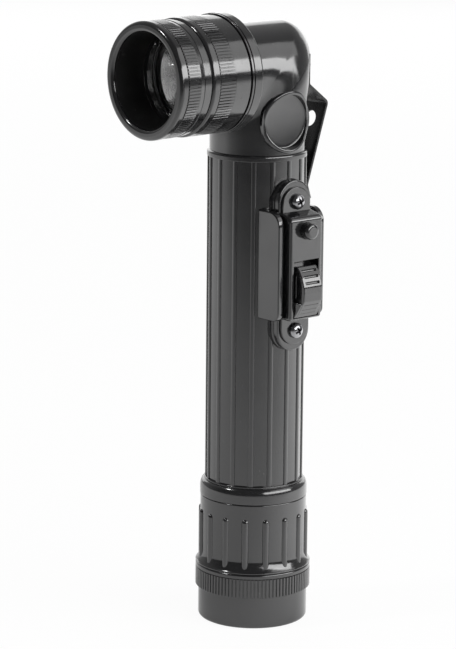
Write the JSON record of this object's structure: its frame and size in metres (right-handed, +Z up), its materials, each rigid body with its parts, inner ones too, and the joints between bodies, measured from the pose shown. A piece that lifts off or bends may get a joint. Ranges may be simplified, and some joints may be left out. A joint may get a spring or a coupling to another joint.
{
  "type": "angle-head led flashlight",
  "caption": "Upright angle-head LED flashlight with a knurled screw head, slide switch, signal button, belt clip and screwed battery cap and base cup.",
  "frame": {"origin": "centre of the flat base, on the tube's axis", "axes": "+Z up along the tube, lamp looks along -Y, switch on the +X side, belt clip on the +Y side"},
  "size_m": [0.035, 0.0542, 0.15],
  "materials": {
    "black_plastic": "glossy moulded black plastic with fine dust and handling marks",
    "switch_plastic": "glossy black moulded plastic",
    "dark_steel": "blackened steel, slightly worn",
    "clip_paint": "spring steel with black paint",
    "brass": "plain brass",
    "fibre_board": "brown fibre board",
    "bright_steel": "nickel-plated steel",
    "lamp_dome": "clear dome with a pale yellow emitter",
    "cell_can": "plain cell sleeve",
    "seal_rubber": "black rubber",
    "clear_lens": "clear polycarbonate",
    "bright_bowl": "vacuum-plated bowl",
    "red_filter": "clear red plastic",
    "amber_filter": "clear amber plastic",
    "blue_filter": "clear blue plastic",
    "frosted_filter": "frosted white plastic"
  },
  "bodies": {
    "housing": {"elbow_housing": "black_plastic", "battery_tube": "black_plastic", "switch_guard": "black_plastic", "switch_cover": "switch_plastic", "switch_screws": "dark_steel", "belt_clip": "clip_paint", "clip_rivets": "clip_paint", "bulb_socket": "brass", "socket_insulator": "fibre_board", "bulb_base": "bright_steel", "led_bulb": "lamp_dome", "lamp_contact": "brass", "lamp_strip": "brass", "ground_strip": "brass", "button_leaf": "brass", "battery_upper": "cell_can", "battery_lower": "cell_can", "head_seal": "seal_rubber"},
    "lens_stack": {"lens": "clear_lens", "lens_gasket": "seal_rubber", "reflector": "bright_bowl"},
    "ring_body": {"lens_ring": "black_plastic"},
    "hood_seal_body": {"hood_seal": "seal_rubber"},
    "hood_body": {"front_bezel": "black_plastic"},
    "cap_seal_body": {"cap_seal": "seal_rubber"},
    "cap_body": {"battery_cap": "black_plastic", "cap_contact": "brass", "tail_spring": "bright_steel"},
    "cup_seal_body": {"cup_seal": "seal_rubber"},
    "cup_body": {"base_cup": "black_plastic", "filter_red": "red_filter", "filter_amber": "amber_filter", "filter_blue": "blue_filter", "filter_clear": "frosted_filter"},
    "switch_body": {"slide_knob": "switch_plastic", "slide_contact": "brass"},
    "button_body": {"signal_button": "switch_plastic"}
  },
  "joints": [
    {"name": "lens_stack_advance", "type": "slide", "parent": "housing", "child": "lens_stack", "axis": [0, -1, 0], "range_m": [0, 0.0045]},
    {"name": "lens_ring_turn", "type": "hinge", "parent": "lens_stack", "child": "ring_body", "pos_m": [0, -0.02, 0.1357], "axis": [0, -1, 0], "range_deg": [0, 1080]},
    {"name": "hood_advance", "type": "slide", "parent": "ring_body", "child": "hood_seal_body", "axis": [0, -1, 0], "range_m": [0, 0.0015]},
    {"name": "hood_turn", "type": "hinge", "parent": "hood_seal_body", "child": "hood_body", "pos_m": [0, -0.03, 0.1357], "axis": [0, -1, 0], "range_deg": [0, 360]},
    {"name": "cap_advance", "type": "slide", "parent": "housing", "child": "cap_seal_body", "axis": [0, 0, -1], "range_m": [0, 0.006]},
    {"name": "cap_turn", "type": "hinge", "parent": "cap_seal_body", "child": "cap_body", "pos_m": [0, 0, 0.0225], "axis": [0, 0, -1], "range_deg": [0, 1440]},
    {"name": "cup_advance", "type": "slide", "parent": "cap_body", "child": "cup_seal_body", "axis": [0, 0, -1], "range_m": [0, 0.003]},
    {"name": "cup_turn", "type": "hinge", "parent": "cup_seal_body", "child": "cup_body", "pos_m": [0, 0, 0.0065], "axis": [0, 0, -1], "range_deg": [0, 720]},
    {"name": "switch_slide", "type": "slide", "parent": "housing", "child": "switch_body", "axis": [0, 0, 1], "range_m": [0, 0.0013]},
    {"name": "signal_press", "type": "slide", "parent": "housing", "child": "button_body", "axis": [-1, 0, 0], "range_m": [0, 0.001], "stiffness_N_per_m": 200, "springref_m": -0.001}
  ],
  "couplings": [
    {"joint": "lens_stack_advance", "follows": "lens_ring_turn", "m_per_rad": 0.00023873},
    {"joint": "hood_advance", "follows": "hood_turn", "m_per_rad": 0.00023873},
    {"joint": "cap_advance", "follows": "cap_turn", "m_per_rad": 0.00023873},
    {"joint": "cup_advance", "follows": "cup_turn", "m_per_rad": 0.00023873}
  ]
}
